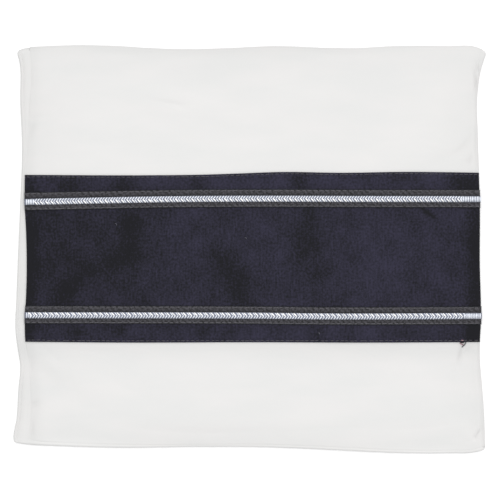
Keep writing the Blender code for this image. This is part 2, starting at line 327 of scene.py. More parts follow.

# Painted shade that makes the cotton greyer: in patches, many of them over its creases, along its
# outline, beside the left seam and below the band. A patch with a size under zero is painted light.
# A shade along a line is its strength and its reach.
COTTON_PAINTED_SHADES = [Bell(*row) for row in (
    (-150, 105, 40, 26, 80, 0.012), (-150, -112, 34, 26, 60, 0.01), (-61, 112, 15, 2, -8, 0.025),
    (-140, -100, 30, 12, -40, 0.012), (150, 72, 22, 5, 20, 0.015), (161.6, -79, 8, 1.7, 77, 0.09),
    (168, -76, 4, 2, 50, 0.05), (163, 78, 9, 2.6, 46, 0.03), (168.6, 67, 4, 1.8, 64, 0.04),
    (173.4, 131, 9, 1.6, 98, 0.06), (-166, 90, 8, 2.4, 70, 0.03), (-164, -118.6, 5, 3, 14, 0.04),
    (-166, -138, 7, 2.2, 88, 0.04), (175.3, -141, 3.6, 0.7, 58, 0.12), (-20, 153, 90, 5, 0, 0.022),
    (150, 152, 50, 5, 0, -0.012), (-140, -148, 38, 4, -2, -0.04), (140, -155, 36, 4, 0, -0.045),
    (-50, -144, 50, 8, 0, 0.018), (-120, -86, 50, 9, 0, 0.01), (80, -82, 70, 8, 0, 0.014),
    (-176, -10, 66, 5, 90, 0.012),
)]
OUTLINE_SHADES = ((0.09, 1.2), (0.02, 6.0), (0.03, 26.0))
SEAM_SHADE = (0.035, 4.5)
SEAM_SHADE_AWAY = 2.5
BAND_SHADE = (0.045, 8.0)
BAND_SHADE_BELOW = 5.0

# Creases: x and y of the middle, half length, half width, turn from +X in degrees, how far the bend
# takes the line to its left at the half length, and height
Crease = namedtuple("Crease", "x y half_length half_width turn bend height")

# The front's fine creases
FRONT_CREASES = [Crease(*row) for row in (
    (-167.2, 131, 13, 1.3, 91, 0.6, -0.5), (-166.4, 90, 6, 1.8, 70, -0.8, -0.45),
    (-162, 100.5, 9, 2.4, 4, 0.9, -0.35), (-167.2, -90, 7, 1.3, 92, 0.4, -0.55),
    (-165.4, -118.6, 3.6, 1, 14, 0.5, -0.5), (-166, -138, 7, 1.2, 88, -0.5, -0.5),
    (-152, -81, 12, 2.2, -48, 1.4, -0.5), (-140, -96, 15, 3.2, -55, -1.6, -0.4),
    (-61, 112, 17, 1.6, -8, 1, -0.5), (-52, 108.6, 5, 1, -30, 0.4, -0.28),
    (163, 78, 10, 2.2, 46, 1.2, -0.8), (168, 67.4, 4.6, 1.6, 62, 0.3, -0.8),
    (175.2, 137, 6, 0.7, 104, 0.4, -1.1), (172.6, 129, 6, 0.6, 94, 0.3, -0.9),
    (150, 96, 16, 3.4, 70, 2, -0.3), (44, -76.8, 100, 3.6, 0.4, 0.8, -0.6),
    (-118, -77.4, 30, 3.2, -3, -0.8, -0.5), (-36, -140.6, 46, 3.4, -1, 2.2, -0.6),
    (66, -137, 38, 3.8, 2, -2, -0.4), (131, -137.6, 20, 2.6, 5, 1.4, -0.3),
    (161.4, -83, 8, 1.4, 80, -0.7, -1.3), (166.6, -79.2, 5, 1.2, 58, 0.5, -0.45),
    (171.4, -77, 3.4, 0.8, 40, 0.4, 0.3), (173.4, -74.6, 3, 0.7, 24, -0.3, -0.3),
    (175, -79, 3.4, 0.7, 64, 0.2, 0.28), (169.6, -100, 12, 2, 82, 1, -0.35),
    (175.3, -141, 3.9, 0.8, 58, 0.3, -1.2), (173, -144.6, 1.7, 0.7, -62, 0.1, -0.9),
    (171, -146.4, 7, 1.3, 18, -0.8, -0.2), (-174, 148, 8, 1.4, 20, 0.5, -0.3),
    (-104, 150, 30, 2.6, -4, 1, -0.3), (-44, 147.6, 22, 2.8, 3, -1.2, -0.35),
    (66, 149.6, 24, 2.6, -3, 1.2, -0.35), (118, 110, 34, 5, 24, 3, -0.22),
    (-106, 80, 44, 5, -4, 2.6, -0.22), (24, 88, 52, 6, 3, -3, -0.2), (-84, -112, 34, 5, -24, 3, -0.25),
    (98, -104, 40, 6, 8, -3, -0.22),
)]

# The band's creases, above all the short one near its upper right and soft ones by its ends
BAND_CREASES = [Crease(*row) for row in (
    (136, 28.4, 7, 1.2, -32, 0.6, -0.35), (-163, 8, 30, 3, 88, 1.6, -0.3),
    (-96, 4, 26, 4, 80, -2, -0.25), (-12, -22, 24, 4.4, 96, 2.4, -0.25),
    (50, -12, 38, 4, 84, -2.2, -0.3), (108, -6, 30, 4.6, 102, 2, -0.2),
    (170, -10, 36, 2.4, 91, 0.8, -0.3),
)]

# The back's creases on its hidden underside, all hollows, so that the rest of it lies flat
BACK_CREASES = [Crease(*row) for row in (
    (-120, 92, 52, 4, 38, 5, 0.5), (-60, -84, 46, 3.4, -30, -5, 0.45), (18, 24, 70, 4.4, 76, 6, 0.4),
    (72, -118, 38, 2.8, 12, 3, 0.5), (124, 96, 34, 3.2, -52, -3, 0.4), (148, -56, 28, 2.6, 64, 2, 0.5),
    (-150, -20, 40, 3, 84, 4, 0.4), (-30, 134, 26, 2.4, -12, 2, 0.35),
)]

# The lip's top, as distances from the outline where the lip is wide enough, and as shares of its width
LIP_TOP = (
    (1.6, 0.45), (2.1, 0.48), (2.4, 0.51), (2.7, 0.54), (3.0, 0.58), (3.6, 0.62),
    *((np.inf, share) for share in (0.67, 0.72, 0.78, 0.84, 0.89, 0.93, 0.97, 1.0)),
)
# How the lip goes down into the seam: distance past the seam line, and height
LIP_INTO_SEAM = ((0.5, 2.5), (1.2, 2.0), (2.4, 1.1))


def offset(line, by):
    """The grid line that runs beside another one, by a distance to its right or above it."""
    return lambda at: line(at) + by


def beside(line, distances):
    """Grid lines at the given distances from a line."""
    return [offset(line, distance) for distance in distances]


def part_way(first, last, share):
    """The grid line that lies a share of the way from one line to another."""
    return lambda at: first(at) * (1 - share) + last(at) * share


def carried_on(lines, *stops):
    """Grid lines and more after them: each stop is a line and how many even steps lead up to it."""
    for last, steps in stops:
        way = [part_way(lines[-1], last, step / steps) for step in range(1, steps)]
        lines = [*lines, *way, last]
    return lines


def smooth_step(value):
    """From 0 to 1 as the value goes from 0 to 1, level at both ends."""
    value = np.clip(value, 0.0, 1.0)
    return value * value * (3 - 2 * value)


def grid(columns, rows):
    """x and y where grid lines cross: columns give x for a y, and rows give y for an x.

    The lines are nearly straight, so a few rounds of working out each from the other settle both.
    """
    x, y = np.zeros((2, len(rows), len(columns)))
    for _ in range(GRID_ROUNDS):
        for number, row in enumerate(rows):
            y[number] = row(x[number])
        for number, column in enumerate(columns):
            x[:, number] = column(y[:, number])
    return x, y


def rounded(x, y):
    """The points with the outline's corners rounded: squares round a corner become arcs."""
    corners_x, corners_y = grid([left_edge, right_edge], [bottom_edge, mouth_edge])
    for row, inward_y in ((0, 1), (1, -1)):
        for column, inward_x in ((0, 1), (1, -1)):
            from_x = CORNER_RADIUS - (x - corners_x[row, column]) * inward_x
            from_y = CORNER_RADIUS - (y - corners_y[row, column]) * inward_y
            near = (from_x > 0) & (from_y > 0)
            shrink = np.maximum(from_x, from_y) / np.maximum(np.hypot(from_x, from_y), TINY)
            x = np.where(near, x + (1 - shrink) * from_x * inward_x, x)
            y = np.where(near, y + (1 - shrink) * from_y * inward_y, y)
    return x, y


def edge_distance(x, y):
    """How far each point is inside the outline: the distance to the nearest of its four sides."""
    sides = (x - left_edge(y), right_edge(y) - x, y - bottom_edge(x), mouth_edge(x) - y)
    return np.maximum(np.minimum.reduce(sides), 0.0)


def turned_axes(x, y, mark):
    """Distances along and across a mark or crease, from its middle."""
    turn = np.radians(mark.turn)
    along = (x - mark.x) * np.cos(turn) + (y - mark.y) * np.sin(turn)
    across = (y - mark.y) * np.cos(turn) - (x - mark.x) * np.sin(turn)
    return along, across


def bell(distance, size, reach):
    """A bell across a line: its size times e to minus the square of the distance over the reach."""
    return size * np.exp(-((distance / reach) ** 2))


def bell_sum(x, y, marks):
    """The sum of soft marks, each a bell both along and across. A size under zero takes away."""
    total = np.zeros_like(x)
    for mark in marks:
        along, across = turned_axes(x, y, mark)
        total += mark.size * np.exp(-((along / mark.half_length) ** 2) - (across / mark.half_width) ** 2)
    return total


def crease_height(x, y, creases):
    """The sum of the creases, each a bell along a bent line and a V with a rounded foot across it."""
    total = np.zeros_like(x)
    for crease in creases:
        along, across = turned_axes(x, y, crease)
        share = along / crease.half_length
        foot = CREASE_FOOT * crease.half_width
        away = np.hypot(across - crease.bend * share**2, foot) - foot
        total += crease.height * np.exp(-(share**2) - away / crease.half_width)
    return total


def painted_cotton_shade(x, y):
    """Painted shade on the cotton: at its outline, by the left seam, below the band and in patches."""
    inside = edge_distance(x, y)
    shade = sum(bell(inside, strength, reach) for strength, reach in OUTLINE_SHADES)
    shade += bell(x - left_seam(y) - SEAM_SHADE_AWAY, *SEAM_SHADE)
    shade += bell(y - band_bottom(x) + BAND_SHADE_BELOW, *BAND_SHADE)
    return shade + bell_sum(x, y, COTTON_PAINTED_SHADES)


def front_height(x, y):
    """Height of the front panel's outer face, without its creases, over the surface that it lies on."""
    air = AIR * (1 - np.exp(-edge_distance(x, y) / AIR_REACH))
    return PANEL_WALL + GAP + PANEL_WALL + np.maximum(air + bell_sum(x, y, FOLDS), 0.0)


def under_band(y):
    """1 under the band and 0 beside it, with a short ramp inside each of the band's edges."""
    above = smooth_step((y - UNDER_BAND_BOTTOM) / UNDER_BAND_RAMP)
    return above * smooth_step((UNDER_BAND_TOP - y) / UNDER_BAND_RAMP)


def creased_front(x, y):
    """The front's outer face with its creases and the pressed line by the side seam.

    Both fade out towards the outline, and there are none of them under the band.
    """
    pressed = bell(x - right_line(y), right_line_depth(y), RIGHT_LINE_REACH)
    inside = smooth_step((edge_distance(x, y) - CREASE_FREE_RIM) / CREASE_FADE)
    fine = np.maximum(crease_height(x, y, FRONT_CREASES) - pressed, -DEEPEST_CREASE)
    return front_height(x, y) + fine * (1 - under_band(y)) * inside


def plain_band(x, y):
    """The band's outer face with its creases."""
    return front_height(x, y) + GAP + BAND_WALL + crease_height(x, y, BAND_CREASES)


def stitched_band(x, y):
    """The band's outer face, pressed in along the sewing of its edges and under the ribbons."""
    height = plain_band(x, y)
    for line in (band_top(x) - BAND_SEWING.inset, band_bottom(x) + BAND_SEWING.inset):
        height -= bell(y - line, *BAND_PRESSED)
    for line in (upper_ribbon(x), lower_ribbon(x)):
        height -= bell(y - line, *RIBBON_PRESSED)
    return height


def linear(colour):
    """An sRGB hex colour as the linear colour that shaders take."""
    channels = np.array([int(colour[place : place + 2], 16) for place in (1, 3, 5)]) / 255
    low, high = channels / 12.92, ((channels + 0.055) / 1.055) ** 2.4
    return (*np.where(channels <= 0.04045, low, high).tolist(), 1.0)


def fill(tree, node, inputs):
    """Sets a node's inputs, by name or number, each to a value or to another node's output."""
    for name, value in inputs.items():
        if isinstance(value, bpy.types.NodeSocket):
            tree.links.new(value, node.inputs[name])
        else:
            node.inputs[name].default_value = value


def add_node(tree, kind, output, inputs=None, **settings):
    """Adds a shader node with its settings and inputs, and gives the output that is named or numbered."""
    node = tree.nodes.new("ShaderNode" + kind)
    for name, value in settings.items():
        setattr(node, name, value)
    fill(tree, node, inputs or {})
    return node.outputs[output]


def maths(tree, operation, *values):
    """The result of a Math node on its values."""
    return add_node(tree, "Math", 0, dict(enumerate(values)), operation=operation)


def added(tree, value, times, to):
    """A value times a factor, added to another value."""
    return maths(tree, "MULTIPLY_ADD", value, times, to)


def noise(tree, vector, scale, detail):
    """The grey value of a Noise Texture."""
    return add_node(tree, "TexNoise", "Fac", {"Vector": vector, "Scale": scale, "Detail": detail})


def waves(tree, vector, scale, distortion, direction):
    """The grey value of a Wave Texture with its usual detail."""
    inputs = {"Vector": vector, "Scale": scale, "Distortion": distortion}
    return add_node(tree, "TexWave", "Fac", inputs, bands_direction=direction)


def wave_scale(spacing):
    """The Scale of a Wave Texture whose bands lie this far apart: at Scale 1 they lie pi / 10 apart."""
    return np.pi / 10 / (spacing * MM)


def stretched(tree, vector, scale):
    """A texture's place, scaled along each axis."""
    return add_node(tree, "Mapping", "Vector", {"Vector": vector, "Scale": scale})


def mapped(tree, value, low, high, new_low=0.0, new_high=1.0):
    """A value whose range from low to high is spread over a new one."""
    limits = {"From Min": low, "From Max": high, "To Min": new_low, "To Max": new_high}
    return add_node(tree, "MapRange", "Result", {"Value": value, **limits})


def colour_ramp(tree, value, stops):
    """The colour for a value, from two or more stops, each a position and a colour."""
    result = add_node(tree, "ValToRGB", "Color", {"Fac": value})
    elements = result.node.color_ramp.elements
    for element, (position, colour) in zip(elements, (stops[0], stops[-1])):
        element.position, element.color = position, linear(colour)
    for position, colour in stops[1:-1]:
        elements.new(position).color = linear(colour)
    return result


def lightened(tree, colour, share):
    """A colour times a share."""
    return add_node(tree, "VectorMath", "Vector", {0: colour, "Scale": share}, operation="SCALE")


def attribute(tree, name, output):
    """A point attribute of the cloth, as its Fac or its Vector."""
    return add_node(tree, "Attribute", output, attribute_name=name)


def bump(tree, height, strength, depth):
    """A shader's Normal over a height that goes this many millimetres deep."""
    inputs = {"Height": height, "Strength": strength, "Distance": depth * MM}
    return add_node(tree, "Bump", "Normal", inputs)


def new_material(name):
    """An empty material with a Principled shader, as the material, its tree and the shader."""
    material = bpy.data.materials.new(name)
    material.use_nodes = True
    tree = material.node_tree
    return material, tree, tree.nodes["Principled BSDF"]


def white_cotton():
    """Cotton sheeting, plain woven, washed and pressed: matt, with a faint nap and an uneven white.

    "shade" holds painted shade: greyer at the outline, by the left seam, below the band, in creases.
    The bump is one thread over and one under, from the product of two waves at the thread spacing.
    """
    material, tree, shader = new_material("white_cotton_sheeting")
    place = add_node(tree, "TexCoord", "Object")
    scale = wave_scale(COTTON_THREAD)
    warp, weft = (waves(tree, place, scale, distortion=1.4, direction=axis) for axis in "XY")
    slub = noise(tree, place, scale=260.0, detail=3.0)
    height = added(tree, slub, times=0.7, to=maths(tree, "MULTIPLY", warp, weft))
    cloudy = noise(tree, stretched(tree, place, (0.3, 1.0, 1.0)), scale=60.0, detail=3.0)
    tint = colour_ramp(tree, cloudy, ((0.35, "#DFDFDE"), (0.65, "#E2E1E0")))
    # Painted shade: the shade attribute darkens the base colour.
    light = maths(tree, "SUBTRACT", 1.0, attribute(tree, "shade", "Fac"))
    fill(tree, shader, {
        "Base Color": lightened(tree, tint, light),
        "Normal": bump(tree, height, strength=0.35, depth=0.06),
        "Roughness": 0.85, "Specular IOR Level": 0.25, "Sheen Weight": 0.05, "Sheen Roughness": 0.5,
    })
    return material


def navy_cloth():
    """Navy poly-cotton, woven with uneven upright threads: a soft dull sheen with fine upright streaks.

    "thread" holds the distances along and up the cloth, and "shade" the darker and lighter patches:
    partly uneven tone, partly painted shade.
    The streaks are drawn about 1 mm wide, twice the real threads, so that they show from a step away.
    """
    material, tree, shader = new_material("navy_poly_cotton")
    thread = attribute(tree, "thread", "Vector")
    streaks = noise(tree, stretched(tree, thread, (1.0, 0.11, 1.0)), scale=900.0, detail=3.0)
    flecks = noise(tree, thread, scale=560.0, detail=2.0)
    clouds = noise(tree, thread, scale=60.0, detail=1.0)
    mixed = added(tree, streaks, times=0.5, to=flecks)
    mixed = added(tree, clouds, times=0.45, to=mixed)
    # The shade attribute darkens the navy: partly its uneven tone, partly painted shade in a crease and at
    # its ends.
    mixed = added(tree, attribute(tree, "shade", "Fac"), times=-0.22, to=mixed)
    lightness = mapped(tree, mixed, low=0.69, high=1.25)
    ribs = waves(tree, thread, wave_scale(NAVY_THREAD), distortion=2.0, direction="X")
    height = added(tree, streaks, times=2.0, to=ribs)
    fill(tree, shader, {
        "Base Color": colour_ramp(tree, lightness, ((0.0, "#121218"), (1.0, "#2F2D3F"))),
        "Normal": bump(tree, height, strength=0.5, depth=0.07),
        "Roughness": 0.6, "Specular IOR Level": 0.15, "Sheen Weight": 0.03, "Sheen Roughness": 0.4,
    })
    return material


def charcoal_ribbon():
    """Charcoal polyester ribbon, woven in a slanting rib, with painted shade beside the braid.

    "thread" holds the distances along and across the ribbon from its middle line. The ramp goes from
    the middle line to the selvedge, which is a darker weave with painted shade on it.
    """
    material, tree, shader = new_material("charcoal_woven_ribbon")
    thread = attribute(tree, "thread", "Vector")
    across = add_node(tree, "SeparateXYZ", "Y", {"Vector": thread})
    out = mapped(tree, maths(tree, "ABSOLUTE", across), low=0.0, high=RIBBON_HALF * MM)
    # Dark by the braid, at 0.36, is painted shade; dark at the selvedge, at 0.97, is a darker weave and
    # painted shade.
    stops = ((0.36, "#15151A"), (0.5, "#302F34"), (0.88, "#363539"), (0.97, "#17191E"))
    tone = colour_ramp(tree, out, stops)
    twill = waves(tree, thread, wave_scale(TWILL_RIB) / np.sqrt(2), distortion=1.5, direction="DIAGONAL")
    speckle = noise(tree, thread, scale=700.0, detail=1.0)
    woven = added(tree, speckle, times=6.0, to=twill)
    glint = mapped(tree, woven, low=2.3, high=4.7, new_low=0.22, new_high=1.78)
    fill(tree, shader, {
        "Base Color": lightened(tree, tone, glint),
        "Normal": bump(tree, woven, strength=0.5, depth=0.03),
        "Roughness": 0.5, "Specular IOR Level": 0.25,
    })
    return material


def silver_lurex(name, colour, roughness):
    """Lurex, a flat metallised thread: bright and slightly broken, with fine cross ribs as if woven."""
    material, tree, shader = new_material(name)
    place = add_node(tree, "TexCoord", "Object")
    ribs = waves(tree, place, wave_scale(SILVER_THREAD), distortion=2.5, direction="X")
    fill(tree, shader, {
        "Base Color": linear(colour),
        "Normal": bump(tree, ribs, strength=0.6, depth=0.08),
        "Metallic": 0.8, "Roughness": roughness,
    })
    return material


def spun_thread(name, colour):
    """Spun sewing thread: soft and slightly hairy, with its twist too fine to show."""
    material, tree, shader = new_material(name)
    fibres = noise(tree, add_node(tree, "TexCoord", "Object"), scale=2600.0, detail=2.0)
    fill(tree, shader, {
        "Base Color": linear(colour),
        "Normal": bump(tree, fibres, strength=0.4, depth=0.05),
        "Roughness": 0.6, "Specular IOR Level": 0.3,
    })
    return material


def edge_loop(shape):
    """The numbers of a grid's edge points: along the first row, up the last column and back round."""
    index = np.arange(shape[0] * shape[1]).reshape(shape)
    return np.concatenate([index[0, :-1], index[:-1, -1], index[-1, :0:-1], index[:0:-1, 0]])


def side_shares(x, y, sides, insets):
    """Each ring point's share in the left, right, bottom and top side.

    It is the inverse cube of the distance to the side, brought in by its inset, over the sum of all
    four. So it is nearly 1 for a point's own side, and mixed at a corner.
    """
    left, right, bottom, top = sides
    by_left, by_right, by_bottom, by_top = insets
    across = (x - left(y) - by_left, right(y) - by_right - x)
    away = np.abs([*across, y - bottom(x) - by_bottom, top(x) - by_top - y])
    nearness = 1 / (away + CORNER_BLEND) ** 3
    return nearness / nearness.sum(axis=0)


def brought_in(x, y, sides, insets):
    """Points moved inside the four sides by an inset from each, where they aren't so already."""
    left, right, bottom, top = sides
    by_left, by_right, by_bottom, by_top = insets
    new_x = np.clip(x, left(y) + by_left, right(y) - by_right)
    return new_x, np.clip(y, bottom(new_x) + by_bottom, top(new_x) - by_top)


def turn_rings(turn):
    """The insets and drops of a turned edge's rings.

    They go down a quarter ellipse to the outermost line, round a smaller one, and straight in.
    """
    under = min(turn.round, UNDER_ROUND)
    for step in range(1, TURN_STEPS + 1):
        angle = np.pi * step / TURN_STEPS
        if step <= TURN_STEPS / 2:
            yield turn.round * (1 - np.sin(angle)), turn.above * (1 - np.cos(angle))
        else:
            yield under * (1 - np.sin(angle)), turn.above - turn.below * np.cos(angle)
    for step in range(1, TUCK_STEPS + 1):
        yield under + (turn.tucked - under) * step / TUCK_STEPS, turn.above + turn.below


def add_object(name, data):
    """An object in the scene, of a mesh, a lamp or a camera."""
    thing = bpy.data.objects.new(name, data)
    bpy.context.scene.collection.objects.link(thing)
    return thing


def finished(name, mesh, material, wall=None):
    """The object of a mesh, shaded smooth, on the bag's body, with its wall grown inwards."""
    mesh.shade_smooth()
    mesh.materials.append(material)
    piece = add_object(name, mesh)
    if wall:
        thickness = piece.modifiers.new("wall", "SOLIDIFY")
        thickness.thickness = wall * MM
        thickness.offset = -1.0
    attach(piece, "root")
    return piece


def cloth_mesh(name, surface, rings, facing, wall, material, marks):
    """A cloth from its grid of points and the rings round it, as a wall that grows in from that face.

    surface holds x, y and z on a grid. Each ring holds the same for the edge's points, further out or
    round the turn. facing is 1 where the grid faces up and -1 where it faces down. Points that fall
    together at a corner are merged. marks are the point attributes, by name, as functions of x and y.
    """
    shape = surface[0].shape
    index = np.arange(shape[0] * shape[1]).reshape(shape)
    squares = [index[:-1, :-1], index[:-1, 1:], index[1:, 1:], index[1:, :-1]]
    faces = [np.stack(squares, axis=-1).reshape(-1, 4)]
    points = [np.stack([part.ravel() for part in surface], axis=-1)]
    loop = edge_loop(shape)
    start = index.size
    for ring in rings:
        outer = np.arange(start, start + len(loop))
        faces.append(np.stack([loop, outer, np.roll(outer, -1), np.roll(loop, -1)], axis=-1))
        points.append(np.stack(ring, axis=-1))
        loop, start = outer, start + len(outer)
    points, faces = np.concatenate(points), np.concatenate(faces)[:, ::facing]
    mesh = bpy.data.meshes.new(name)
    mesh.from_pydata((points * MM).tolist(), [], faces.tolist())
    for mark, function in marks.items():
        values = np.asarray(function(points[:, 0], points[:, 1]), dtype=np.float32)
        kind, field = ("FLOAT", "value") if values.ndim == 1 else ("FLOAT_VECTOR", "vector")
        mesh.attributes.new(mark, kind, "POINT").data.foreach_set(field, values.T.ravel())
    soft = bmesh.new()
    soft.from_mesh(mesh)
    bmesh.ops.remove_doubles(soft, verts=soft.verts, dist=MERGE_DISTANCE * MM)
    soft.to_mesh(mesh)
    soft.free()
    return finished(name, mesh, material, wall)


def turned_cloth(name, columns, rows, height, turns, wall, material, marks):
    """A cloth over a grid of lines with its edges turned under, in the order left, right, bottom, top.

    The outline is the outermost lines. The surface starts inside them by each turn's rounding, and
    each ring is the outline brought in by its inset and dropped under the surface's height there.
    A turn with no drop of its own goes down to the side seam.
    """
    sides = (columns[0], columns[-1], rows[0], rows[-1])
    x, y = grid(columns, rows)
    loop = edge_loop(x.shape)
    out_x, out_y = x.ravel()[loop], y.ravel()[loop]
    down = height(out_x, out_y) - SIDE_SEAM_HEIGHT
    turns = [turn if turn.above is not None else turn._replace(above=down) for turn in turns]
    x, y = rounded(*brought_in(x, y, sides, [turn.round for turn in turns]))
    rings = []
    for steps in zip(*(turn_rings(turn) for turn in turns)):
        insets = [inset for inset, _ in steps]
        ring_x, ring_y = brought_in(out_x, out_y, sides, insets)
        shares = side_shares(ring_x, ring_y, sides, insets)
        ring_x, ring_y = rounded(ring_x, ring_y)
        drop = sum(share * fall for share, (_, fall) in zip(shares, steps))
        rings.append((ring_x, ring_y, height(ring_x, ring_y) - drop))
    return cloth_mesh(name, (x, y, height(x, y)), rings, 1, wall, material, marks)


def front_left(y):
    """The front's left line, just inside the lip's slope and a little further in under the band."""
    return left_seam(y) + LIP_SLOPE - SEAM_OVERLAP + FRONT_IN_LEFT * under_band(y)


def front_right(y):
    """The front's right line, on the outline and a little further in under the band."""
    return right_edge(y) - FRONT_IN_RIGHT * under_band(y)


def make_front(material):
    """The front panel, its edges turned in at the seams and hemmed at the mouth.

    Its grid lines lie closer together at its edges, by the side seam and along the band.
    """
    low = offset(bottom_seam, LIP_SLOPE - SEAM_OVERLAP)
    columns = carried_on(
        [front_left, *beside(front_left, (2.2, 2.8, 3.6, 4.6, 6.0))],
        (offset(front_right, -24.0), 150), (offset(front_right, -2.0), 27), (front_right, 1),
    )
    rows = carried_on(
        [low, *beside(low, (2.0, 2.6, 3.4))],
        (offset(band_bottom, -12.0), 64), (offset(band_bottom, 3.0), 16), (offset(band_top, -3.0), 14),
        (offset(band_top, 4.0), 6), (offset(mouth_edge, -6.0), 72),
    )
    rows += [*beside(mouth_edge, (-4.6, -3.4, -2.4, -1.8)), mouth_edge]
    turns = (FRONT_SEAM, FRONT_SIDE, FRONT_SEAM, MOUTH_HEM)
    marks = {"shade": painted_cotton_shade}
    return turned_cloth(
        "cotton_front", columns, rows, creased_front, turns, COTTON_THICKNESS, material, marks
    )


def back_right(y):
    """The back's right line: the outline, and above the bottom corner a little inside it."""
    return right_edge(y) - HIDDEN_TUCK * smooth_step((y - TUCKED_ABOVE) / TUCKED_ABOVE_RAMP)


def back_top(x):
    """The back's top line: the outline, and past the left corner a little inside it."""
    return mouth_edge(x) - HIDDEN_TUCK * smooth_step((x - TUCKED_PAST) / TUCKED_PAST_RAMP)


def lip_roll(width):
    """How far in from the outline the lip's roll ends, where the lip is this wide."""
    return np.minimum(ROLL_ROUND, ROLL_SHARE * width)


def lip_top(width, line, distance, share):
    """The inset and height at one step over the lip's top, a distance or a share of the lip's width in.

    The height is the roll's, less the pressed line, a hollow over the way to the seam where the lip
    is wide, and the slope at the seam.
    """
    roll = lip_roll(width)
    inset = np.maximum(np.minimum(distance, share * width), roll)
    way = np.clip((inset - roll) / (width - roll), 0.0, 1.0)
    pressed = bell(inset - LIP_LINE_INSET, line, LIP_LINE_REACH)
    hollow = LIP_HOLLOW * np.sin(np.pi * way) * (width > WIDE_LIP)
    to_seam = smooth_step((inset - width) / np.minimum(LIP_DROP_REACH, width / 2) + 1)
    return inset, ROLL_HEIGHT - pressed - hollow - LIP_DROP * to_seam


def back_rings():
    """The rings round the back: the hem's inset and height, and a function for the lip's ones.

    They go up a quarter ellipse to the outline and a second one to the top. At the free sides the
    hem then goes straight in. The lip goes over its roll to the seam, and down into it. The function
    takes the lip's width and the depth of its pressed line.
    """
    half_hem, half_roll = BACK_HEM_TOP / 2, ROLL_HEIGHT / 2
    angles = [np.pi / 2 / ROLL_STEPS * step for step in range(1, ROLL_STEPS + 1)]
    for angle in angles:
        inset, up = ROLL_ROUND * (1 - np.sin(angle)), 1 - np.cos(angle)
        yield inset, half_hem * up, lambda width, line: (inset, half_roll * up)
    for angle in angles:
        out, up = 1 - np.cos(angle), 1 + np.sin(angle)
        yield UNDER_ROUND * out, half_hem * up, lambda width, line: (lip_roll(width) * out, half_roll * up)
    for number, (distance, share) in enumerate(LIP_TOP, 1):
        inset = UNDER_ROUND + (BACK_TUCK - UNDER_ROUND) * number / len(LIP_TOP)
        yield inset, BACK_HEM_TOP, lambda width, line: lip_top(width, line, distance, share)
    for past, height in LIP_INTO_SEAM:
        yield BACK_TUCK + past, BACK_HEM_TOP, lambda width, line: (width + past, height)


def make_back(material):
    """The back panel: flat on the floor, rolled round to the front at the left and along the bottom.

    Each ring is the outline brought in by its insets. The lip's width is taken where the ring lies,
    so a few rounds of working out each from the other settle both.
    """
    sides = (left_edge, back_right, bottom_edge, back_top)
    columns, rows = (
        carried_on([first, offset(first, BACK_RIM)], (offset(last, -BACK_RIM), steps), (last, 1))
        for first, last, steps in ((left_edge, back_right, 136), (bottom_edge, back_top, 118))
    )
    x, y = grid(columns, rows)
    loop = edge_loop(x.shape)
    out_x, out_y = x.ravel()[loop], y.ravel()[loop]
    rings = []
    for hem_inset, hem_height, lip in back_rings():
        ring_x, ring_y = out_x, out_y
        for _ in range(LIP_ROUNDS):
            left_inset, left_height = lip(left_seam(ring_y) - left_edge(ring_y), lip_line_depth(ring_y))
            bottom_inset, bottom_height = lip(bottom_seam(ring_x) - bottom_edge(ring_x), 0.0)
            insets = (left_inset, hem_inset, bottom_inset, hem_inset)
            ring_x, ring_y = brought_in(out_x, out_y, sides, insets)
        shares = side_shares(ring_x, ring_y, sides, insets)
        heights = (left_height, hem_height, bottom_height, hem_height)
        height = sum(share * height for share, height in zip(shares, heights))
        rings.append((*rounded(ring_x, ring_y), height))
    x, y = rounded(*brought_in(x, y, sides, [ROLL_ROUND] * 4))
    inside = smooth_step(edge_distance(x, y) / UNDERSIDE_FADE - UNDERSIDE_RIM)
    z = crease_height(x, y, BACK_CREASES) * inside
    z = np.where(z < FLAT_UNDER, 0.0, z)
    marks = {"shade": painted_cotton_shade}
    return cloth_mesh("cotton_back", (x, y, z), rings, -1, COTTON_THICKNESS, material, marks)


def along_and_up(x, y, line=None):
    """The distances along a strip and across it, in metres, which its weave follows."""
    across = y if line is None else y - line(x)
    return np.stack([x, across, np.zeros_like(x)]) * MM


def make_band(material):
    """The navy band: long edges turned under, and its ends by the left seam and over the right edge."""
    left = offset(left_seam, LIP_SLOPE - BAND_END_IN)
    columns = carried_on(
        [left, *beside(left, (1.7, 2.6))],
        (offset(right_edge, -3.0), 220), (offset(right_edge, -2.0), 1), (right_edge, 1),
    )
    fine = (1.7, 2.0, 2.4, 3.0, 3.8)
    rows = carried_on([band_bottom, *beside(band_bottom, fine)], (offset(band_top, -fine[-1]), 96))
    rows += [*beside(band_top, [-distance for distance in fine[-2::-1]]), band_top]
    marks = {"thread": along_and_up, "shade": lambda x, y: bell_sum(x, y, BAND_TONE_AND_PAINTED_SHADE)}
    turns = (BAND_IN_SEAM, BAND_OVER_EDGE, BAND_FOLD, BAND_FOLD)
    return turned_cloth(
        "navy_band_cloth", columns, rows, stitched_band, turns, BAND_THICKNESS, material, marks
    )


def strip_columns(end_in, end_out, steps):
    """The columns of a ribbon or a braid, whose ends lie under the lip's slope and over the right edge."""
    left, right = offset(left_seam, LIP_SLOPE - end_in), offset(right_edge, end_out)
    return carried_on([left, offset(left, 1.8)], (offset(right, -2.2), steps), (right, 1))


def ribbon_height(middle):
    """The function for the height of a ribbon's face: the band's plain height and the ribbon's own wall.

    It is sunk a little into the band and pressed in along both lines of stitches.
    """
    def height(x, y):
        side = np.abs(y - middle(x)) - (RIBBON_HALF - RIBBON_SEWING.inset)
        return plain_band(x, y) + GAP + RIBBON_WALL - RIBBON_SINK - bell(side, *SELVEDGE_PRESSED)

    return height


